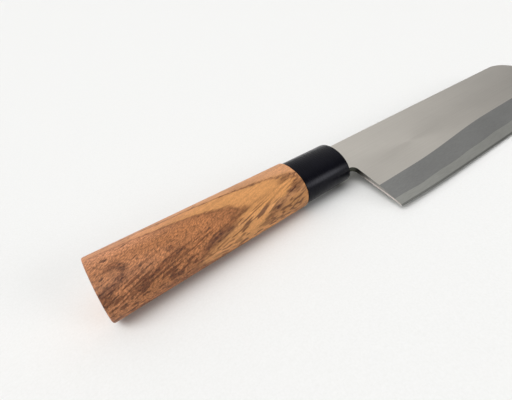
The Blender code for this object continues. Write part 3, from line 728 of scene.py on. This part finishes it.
grip = made_by(grip_tree(HARDWOOD), "grip", GRIP)
ferrule = joined_copy("ferrule", "polished_ferrule", [BLACK_RESIN])
iron = joined_copy("blade_iron", "blade_body", [BRUSHED_FLAT, STONE_BEVEL, FILED_SPINE, SHADED_NECK],
                   iron_finish)
steel = joined_copy("blade_steel", "blade_edge_steel", [HONED_STRIP, FINE_EDGE, HOLLOW_BACK, RUBBED_CHOIL_AND_REFLECTION],
                    steel_finish)
for piece, node, finish in ((grip, "handle_wood", "hardwood"), (ferrule, "ferrule", "black_resin"),
                            (iron, "blade_iron", "soft_iron"), (steel, "blade_steel", "hard_steel")):
    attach(piece, "root")
    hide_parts(node)
for node, material in (("handle_dowel", MAGNOLIA), ("tang_seal", AMBER_RESIN)):
    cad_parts[node].data.materials.clear()
    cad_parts[node].data.materials.append(material)

# %% [markdown]
# The table is one wide sheet of pale paper, and it keeps the knife's shadow. A backdrop that curves
# up could hide the horizon, but under a background of nearly its own tone a flat sheet is enough.

# %% The table
TABLE_REACH = 3.0  # metres from the middle to each side
PAPER, PAPER_TOOTH = "#f0f0ef", "#e7e7e5"
TOOTH_SIZE = (0.8, 0.8, 0.8)


def pale_paper():
    paper, tree, place = new_material("pale_paper")
    tooth = figure(tree, place, TOOTH_SIZE)
    tone = add(tree, "ShaderNodeMix",
               {"Factor": tooth, COLOUR_A: linear(PAPER), COLOUR_B: linear(PAPER_TOOTH)},
               data_type="RGBA").outputs[COLOUR_MIX]
    finish_material(paper, {"Base Color": tone, "Roughness": 0.9, "IOR": 1.1})
    return paper


sheet = bpy.data.meshes.new("table")
corners = [(x * TABLE_REACH, y * TABLE_REACH, FLOOR_LEVEL) for x, y in ((-1, -1), (1, -1), (1, 1), (-1, 1))]
sheet.from_pydata(corners, [], [(0, 1, 2, 3)])
sheet.materials.append(pale_paper())
table = bpy.data.objects.new("table", sheet)
bpy.context.scene.collection.objects.link(table)
print("the table is", 2 * TABLE_REACH, "m wide")

# %% [markdown]
# The light is that of a pale room. It is brightest overhead and beyond the knife, and fades to a
# weak fill low on the near side, which keeps the table dark under the blade. A large soft window is
# behind the camera. It fades with the room, so only its upper part is bright. A small low one on
# the right gives the ferrule its streak. Lamps could do this too, but a sky drawn in nodes has no
# rim that a polished ring would mirror. Whatever shines sees pale walls low down, and the room and
# the large window no brighter than a limit, because bare metal mirrors them at some angles. The
# camera itself sees one even pale background in every view.

# %% Light
def direction(azimuth, elevation):
    """A unit vector; azimuth is counted from +X towards +Y, both in degrees."""
    turn, rise = math.radians(azimuth), math.radians(elevation)
    return (math.cos(rise) * math.cos(turn), math.cos(rise) * math.sin(turn), math.sin(rise))


# Each light is a direction and the cosines of the angles where it starts and where it is full. A
# cosine above 1 isn't reached, so that light stays a little below its level.
ROOM = (direction(77, 56), 0.24, 0.84)
WINDOW = (direction(214, 20), 0.45, 0.60)
SMALL_WINDOW = (direction(307, 20), 0.955, 1.005)
ROOM_LEVEL, WINDOW_LEVEL, SMALL_WINDOW_LEVEL = 0.645, 7.46, 6.8
FILL = 0.045  # the share of the light that is left low on the near side
GLARE_LIMIT = 1.0
WALL_LEVEL, WALL_TOP = 0.72, 0.3
BACKGROUND_LEVEL = 0.9
for name, (_, start, _) in (("room", ROOM), ("window", WINDOW), ("small window", SMALL_WINDOW)):
    print("the", name, "reaches", round(math.degrees(math.acos(start)), 1), "degrees from its middle")

room = bpy.data.worlds.new("room")
bpy.context.scene.world = room
room.use_nodes = True
sky = room.node_tree
sky.nodes.clear()
way = add(sky, "ShaderNodeTexCoord").outputs["Generated"]


def glow(light, lowest, highest):
    """A soft round light on the sky, from its lowest level to its highest."""
    aim, start, full = light
    near = add(sky, "ShaderNodeVectorMath", [way, aim], operation="DOT_PRODUCT").outputs["Value"]
    return add(sky, "ShaderNodeMapRange", [near, start, full, lowest, highest],
               interpolation_type="SMOOTHSTEP")


ray = add(sky, "ShaderNodeLightPath").outputs
mirrored = add(sky, "ShaderNodeMath", [ray["Is Glossy Ray"], ray["Is Transmission Ray"]],
               operation="MAXIMUM")
window = glow(WINDOW, ROOM_LEVEL, WINDOW_LEVEL)
lit = add(sky, "ShaderNodeMath", [window, glow(ROOM, FILL, 1.0)], operation="MULTIPLY")
soft = add(sky, "ShaderNodeMath", [lit, GLARE_LIMIT], operation="MINIMUM")
met = add(sky, "ShaderNodeMix", {"Factor": mirrored, FLOAT_A: lit, FLOAT_B: soft},
          data_type="FLOAT").outputs[FLOAT_MIX]
small_window = glow(SMALL_WINDOW, 0.0, SMALL_WINDOW_LEVEL)
light = add(sky, "ShaderNodeMath", [met, small_window], operation="ADD")
height = add(sky, "ShaderNodeSeparateXYZ", [way]).outputs["Z"]
wall = add(sky, "ShaderNodeMapRange", [height, 0.0, WALL_TOP, 1.0, 0.0], interpolation_type="SMOOTHSTEP")
reflected = add(sky, "ShaderNodeMath", [wall, mirrored], operation="MULTIPLY")
walled = add(sky, "ShaderNodeMix", {"Factor": reflected, FLOAT_A: light, FLOAT_B: WALL_LEVEL},
             data_type="FLOAT").outputs[FLOAT_MIX]
level = add(sky, "ShaderNodeMix",
            {"Factor": ray["Is Camera Ray"], FLOAT_A: walled, FLOAT_B: BACKGROUND_LEVEL},
            data_type="FLOAT").outputs[FLOAT_MIX]
backdrop = add(sky, "ShaderNodeBackground", {"Color": linear("#ffffff"), "Strength": level})
add(sky, "ShaderNodeOutputWorld", [backdrop])
print("the sky has", len(sky.nodes), "nodes")

# %% [markdown]
# The camera stands over the handle's side and looks along the knife. It could be aimed by a
# constraint, but a place and two directions say the view in full, and in the knife's own axes they
# keep it if the knife is laid down another way.

# %% Camera
CAMERA_PLACE = (9.52, -96.16, 113.68)
CAMERA_FORWARD = Vector((0.39518, 0.60068, -0.69499))
CAMERA_RIGHT = Vector((0.80979, -0.58498, -0.04514))
LENS, SENSOR_WIDTH = 25.3125, 36.0
NEAREST = 0.01  # metres, nearer than any part of the table that is in view

lens = bpy.data.cameras.new("camera")
lens.lens = LENS
lens.sensor_fit = "HORIZONTAL"
lens.sensor_width = SENSOR_WIDTH
lens.clip_start = NEAREST
camera = bpy.data.objects.new("camera", lens)
right = TURN @ CAMERA_RIGHT
back = -(TURN @ CAMERA_FORWARD)
stand = Matrix.Translation(on_knife(*CAMERA_PLACE))
aim = Matrix((right, back.cross(right), back)).transposed().to_4x4()
camera.matrix_world = stand @ aim
bpy.context.scene.collection.objects.link(camera)
bpy.context.scene.camera = camera
bpy.context.scene.view_settings.view_transform = "Standard"
print("the camera sees", round(math.degrees(lens.angle_x), 1), "degrees across")

# %% Update the scene
bpy.context.view_layer.update()
